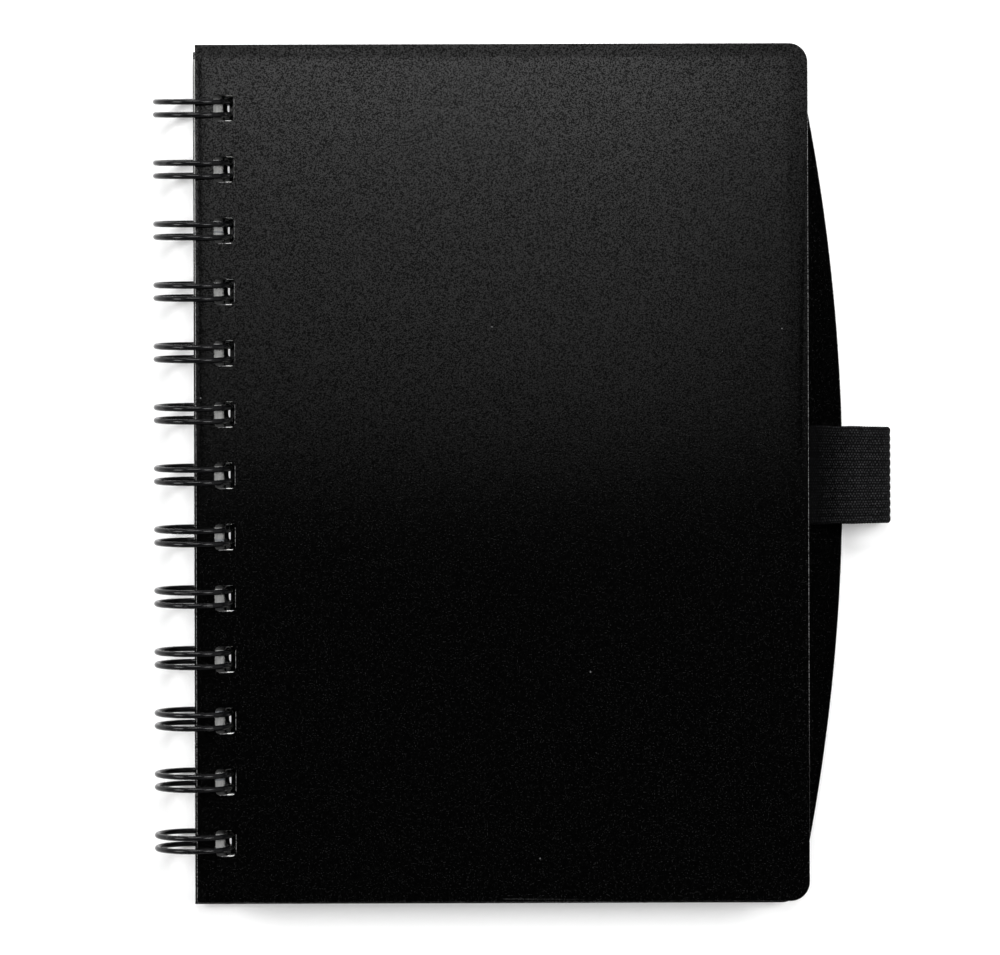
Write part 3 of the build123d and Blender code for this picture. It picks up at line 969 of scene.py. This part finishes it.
class NOTEBOOK_OT_pen_loop(bpy.types.Operator):
    """Weaves the elastic band and folds it round the flap"""

    bl_idname = "notebook.pen_loop"
    bl_label = "Pen loop"

    def execute(self, context):
        band = context.scene.notebook_band
        line = self.route(band)
        piece = new_object("woven_band", self.weave(band, line))
        finish_piece(piece, "rear_cover", "woven_elastic", "pen_loop")
        return {"FINISHED"}

    @staticmethod
    def route(band):
        """The band's middle line in the XZ plane, evenly spaced."""
        low, high = BAND_BOX
        half = band.thickness / 2
        hug_end = REAR_BOX[1].x - band.hug
        upper = REAR_BOX[1].z + band.gap + half
        lower = REAR_BOX[0].z - band.gap - half
        floor, roof = low.z + half, high.z - half
        fold = high.x - half
        corners = [
            (low.x, upper),
            (hug_end, upper),
            (hug_end + band.rise, roof),
            (fold, roof),
            (fold, floor),
            (hug_end + band.fall, floor),
            (hug_end, lower),
            (low.x, lower),
        ]
        turn = band.fold * (roof - floor)
        radii = [0, band.bend, band.bend, turn, turn, band.bend, band.bend, 0]
        line = rounded_flat(corners, radii, BAND_STEP)
        lengths = [0.0]
        for a, b in zip(line, line[1:]):
            lengths.append(lengths[-1] + (b - a).length)
        step = band.pick / 4
        count = round(lengths[-1] / step)
        even = np.linspace(0, lengths[-1], count + 1)
        xs = np.interp(even, lengths, [p.x for p in line])
        zs = np.interp(even, lengths, [p.y for p in line])
        return np.stack([xs, zs, even], axis=1)

    @staticmethod
    def weave(band, line):
        """Both faces of the band, ribbed along it and crossed by the picks."""
        low, high = BAND_BOX
        ribs = round((high.y - low.y) / band.rib)
        across = np.linspace(0, 1, ribs * 8 + 1)
        ahead = np.gradient(line[:, :2], axis=0)
        ahead /= np.linalg.norm(ahead, axis=1)[:, None]
        normal = np.stack([-ahead[:, 1], ahead[:, 0]], axis=1)
        rib = np.abs(np.sin(np.pi * across * ribs)) ** 0.7
        number = np.floor(across * ribs * 0.9999)
        picks = line[:, 2][:, None] / band.pick + 0.5 * (number[None, :] % 2)
        pick = np.abs(np.sin(np.pi * picks))
        edge = np.minimum(across, 1 - across) * (high.y - low.y)
        thin = np.clip(edge / (0.5 * MM), 0, 1) ** 0.5
        relief = band.rib_depth * (rib[None, :] - 1) + band.pick_depth * (pick - 1) * rib[None, :]
        half = band.thickness / 2 * (0.45 + 0.55 * thin)[None, :] + relief
        along = line[:, 2]
        wobble = band.wobble * np.sin(along / (1.7 * MM)) * np.sin(along / (5.1 * MM))
        fray = band.fray * np.abs(np.sin(np.pi * along / band.pick))
        fray = fray * (0.6 + 0.4 * np.sin(along / (0.9 * MM)))
        visible = high.x - FRONT_BOX[1].x
        widen = band.spread * np.clip((high.x - line[:, 0]) / visible, 0, 1)
        side = (2 * across - 1)[None, :]
        at_edge = np.abs(side) ** 12
        y = (low.y + high.y) / 2 + side * ((high.y - low.y) / 2 + widen + wobble)[:, None]
        y -= np.sign(side) * at_edge * fray[:, None]
        rows, columns = half.shape
        points = []
        for face in (1, -1):
            x = line[:, 0][:, None] + face * normal[:, 0][:, None] * half
            z = line[:, 1][:, None] + face * normal[:, 1][:, None] * half
            points.append(np.stack([x, y, z], axis=2).reshape(-1, 3))
        points = np.concatenate(points)
        size = rows * columns
        at = np.arange(size).reshape(rows, columns)
        top = np.stack([at[:-1, :-1], at[1:, :-1], at[1:, 1:], at[:-1, 1:]], axis=2).reshape(-1, 4)
        under = top[:, ::-1] + size
        faces = [*top.tolist(), *under.tolist()]
        for edge_line in (at[:, 0], at[::-1, -1], at[-1, :], at[0, ::-1]):
            for a, b in zip(edge_line, edge_line[1:]):
                faces.append([int(b), int(a), int(a) + size, int(b) + size])
        mesh = mesh_from("woven_band", points, faces, smooth=True)
        layer = mesh.uv_layers.new(name="band")
        index = np.zeros(len(mesh.loops), np.int32)
        mesh.loops.foreach_get("vertex_index", index)
        index %= size
        width = high.y - low.y
        uv = np.stack([line[index // columns, 2], across[index % columns] * width], axis=1)
        layer.data.foreach_set("uv", uv.ravel())
        mesh.materials.append(bpy.data.materials["black_elastic"])
        made = bmesh.new()
        made.from_mesh(mesh)
        bmesh.ops.recalc_face_normals(made, faces=made.faces)
        made.to_mesh(mesh)
        made.free()
        return mesh


class NOTEBOOK_OT_stitching(bpy.types.Operator):
    """Sews the band to the rear cover with rows of lock stitches"""

    bl_idname = "notebook.stitching"
    bl_label = "Stitching"

    def execute(self, context):
        settings = context.scene.notebook_stitch
        low, high = STITCH_BOX
        radius = settings.thread / 2
        xs = spread(low.x + radius, high.x - radius, (high.x - low.x) / max(1, settings.rows - 1))
        reach = settings.length / 2
        ys = np.linspace(low.y + radius + reach, high.y - radius - reach, settings.per_row)
        points = []
        edges = []
        for x in xs[: settings.rows]:
            for y in ys:
                loop = self.stitch(x, y, reach, low.z + radius, high.z - radius, settings.bend)
                first = len(points)
                points += loop
                edges += [(first + i, first + (i + 1) % len(loop)) for i in range(len(loop))]
        mesh = bpy.data.meshes.new("band_stitches")
        mesh.from_pydata([tuple(p) for p in points], edges, [])
        piece = new_object("band_stitches", mesh)
        tree = tube_tree("thread_tube", 10, bpy.data.materials["black_thread"])
        run_tree(piece, tree, Radius=radius)
        finish_piece(piece, "rear_cover", "sewing_thread", "loop_stitching")
        return {"FINISHED"}

    @staticmethod
    def stitch(x, y, reach, bottom, top, bend):
        """A closed loop of thread: over, down, under and up again."""
        square = rectangle(y - reach, y + reach, bottom, top)
        return [Vector((x, p[0], p[1])) for p in rounded(square, [bend] * 4, STITCH_STEP)]


# ---- stage -----------------------------------------------------------------


class NOTEBOOK_OT_stage(bpy.types.Operator):
    """Adds the floor, the light panel, the side lights, the sky and the camera"""

    bl_idname = "notebook.stage"
    bl_label = "Stage"

    def execute(self, context):
        scene = context.scene
        scene.view_settings.view_transform = "Standard"
        stage = scene.notebook_stage
        middle_y = hole_rows(scene)[scene.notebook_punch.count // 2]
        aim = Vector((AXIS.x + stage.aim_x, middle_y + stage.aim_y, FRONT_BOX[1].z))
        self.floor(stage)
        self.panel(stage, aim)
        self.side_lights(stage, aim)
        self.sky(scene)
        self.camera(scene, stage, aim)
        return {"FINISHED"}

    @staticmethod
    def floor(stage):
        """Pale, a little luminous, and more so under the row of holes."""
        made, graph = material("floor_white", (0.9, 0.9, 0.9))
        diffuse = graph.add("ShaderNodeBsdfDiffuse", inputs={"Color": (0.8, 0.8, 0.8, 1)})
        x, y, _ = graph.axes(graph.place())
        in_row = (abs(x - AXIS.x - 7.5 * MM) < 2.6 * MM) * (abs(y) < WIRE_BOX[1].y)
        spot = in_row * (hole_offset(y) < 1.1 * MM)
        under = (x > AXIS.x + 3 * MM) * (x < FRONT_BOX[1].x - 5 * MM) * (abs(y) < SHEET_BOX[1].y)
        strength = stage.floor_glow * (1 - under) + spot * stage.hole_glow
        glow = graph.add("ShaderNodeEmission", inputs={"Color": (1, 1, 1, 1), "Strength": strength})
        both = graph.add("ShaderNodeAddShader", inputs={0: diffuse, 1: glow})
        graph.add("ShaderNodeOutputMaterial", inputs={"Surface": both})
        reach = 3.0
        corners = [(x, y, 0) for x, y in rectangle(-reach, reach, -reach, reach)]
        mesh = mesh_from("floor", corners, [(0, 1, 2, 3)])
        mesh.materials.append(made)
        new_object("floor", mesh)

    @staticmethod
    def panel(stage, aim):
        """A soft panel above the camera, brighter towards the head."""
        made, graph = material("panel_glow", (1, 1, 1))
        x, y, _ = graph.axes(graph.place())
        up = y - aim.y
        across = x - aim.x
        rise = up.smooth(-0.018, 0.024) * (0.106 + up * 3.77 + up.smooth(0.14, 0.215) * 0.45)
        fall = 1 - up.smooth(0.205, 0.28) * 0.6
        right = across.smooth(0.05, 0.17) * 0.5
        left = (0 - across).smooth(0.05, 0.13) * 0.12
        sides = 1 - right - left
        strength = rise * fall * sides * stage.panel_glow
        glow = graph.add("ShaderNodeEmission", inputs={"Strength": strength})
        graph.add("ShaderNodeOutputMaterial", inputs={"Surface": glow})
        square = rectangle(aim.x - 0.25, aim.x + 0.25, aim.y - 0.03, aim.y + 0.4)
        corners = [(x, y, stage.panel_height) for x, y in square]
        mesh = mesh_from("panel", corners, [(3, 2, 1, 0)])
        mesh.materials.append(made)
        new_object("panel", mesh)

    @staticmethod
    def side_lights(stage, aim):
        for name, place in (
            ("light_left", (-1.5, 0.3, 1.5)),
            ("light_right", (1.5, 0.4, 1.6)),
            ("light_head", (0.0, 1.7, 1.5)),
        ):
            data = bpy.data.lights.new(name, "AREA")
            data.shape = "RECTANGLE"
            data.size = 1.2
            data.size_y = 0.9
            data.energy = stage.lamp_power
            lamp = bpy.data.objects.new(name, data)
            lamp.location = place
            lamp.rotation_euler = (aim - Vector(place)).to_track_quat("-Z", "Y").to_euler()
            bpy.context.scene.collection.objects.link(lamp)

    @staticmethod
    def sky(scene):
        """Pale towards the horizon and dark overhead."""
        world = bpy.data.worlds.new("studio")
        scene.world = world
        world.use_nodes = True
        graph = Graph(world.node_tree)
        direction = graph.add("ShaderNodeTexCoord", output="Generated")
        _, _, up = graph.axes(direction)
        glow = 0.005 + 0.85 * (1 - up.smooth(0.25, 0.6))
        sky = graph.add("ShaderNodeBackground", inputs={"Strength": glow})
        graph.add("ShaderNodeOutputWorld", inputs={"Surface": sky})

    @staticmethod
    def camera(scene, stage, aim):
        data = bpy.data.cameras.new("camera")
        data.sensor_width = 36
        data.lens = data.sensor_width * stage.distance / stage.view_width
        data.clip_start = 0.01
        data.clip_end = 20
        eye = bpy.data.objects.new("camera", data)
        eye.location = aim + Vector((0, 0, stage.distance))
        eye.rotation_euler = (0, 0, stage.turn)
        scene.collection.objects.link(eye)
        scene.camera = eye


class NOTEBOOK_OT_materials(bpy.types.Operator):
    """Makes the five finishes"""

    bl_idname = "notebook.materials"
    bl_label = "Finishes"

    def execute(self, context):
        scene = context.scene
        grained_plastic("black_plastic", scene.notebook_cover)
        wire_enamel("black_enamel", scene.notebook_wire)
        writing_paper("white_paper", scene.notebook_sheet)
        woven_yarn("black_elastic", scene.notebook_band)
        sewing_thread("black_thread", tuple(scene.notebook_stitch.tint))
        return {"FINISHED"}


class NOTEBOOK_PT_sidebar(bpy.types.Panel):
    """Lists the settings and the pieces"""

    bl_idname = "NOTEBOOK_PT_sidebar"
    bl_label = "Pocket notebook"
    bl_space_type = "VIEW_3D"
    bl_region_type = "UI"
    bl_category = "Notebook"

    def draw(self, context):
        for group, settings in SETTINGS.items():
            box = self.layout.box()
            for name in settings.__annotations__:
                box.prop(getattr(context.scene, group), name)
        for operator in OPERATORS:
            self.layout.operator(operator.bl_idname)


OPERATORS = (
    NOTEBOOK_OT_materials,
    NOTEBOOK_OT_front_cover,
    NOTEBOOK_OT_rear_cover,
    NOTEBOOK_OT_sheets,
    NOTEBOOK_OT_wire,
    NOTEBOOK_OT_pen_loop,
    NOTEBOOK_OT_stitching,
    NOTEBOOK_OT_stage,
)


def register():
    for made in (*SETTINGS.values(), *OPERATORS, NOTEBOOK_PT_sidebar):
        bpy.utils.register_class(made)
    for name, settings in SETTINGS.items():
        setattr(bpy.types.Scene, name, PointerProperty(type=settings))


def unregister():
    for name in SETTINGS:
        delattr(bpy.types.Scene, name)
    for made in (NOTEBOOK_PT_sidebar, *reversed(OPERATORS), *SETTINGS.values()):
        bpy.utils.unregister_class(made)


def main():
    register()
    for operator in OPERATORS:
        name = operator.bl_idname.removeprefix("notebook.")
        getattr(bpy.ops.notebook, name)()


if __name__ == "__main__":
    main()
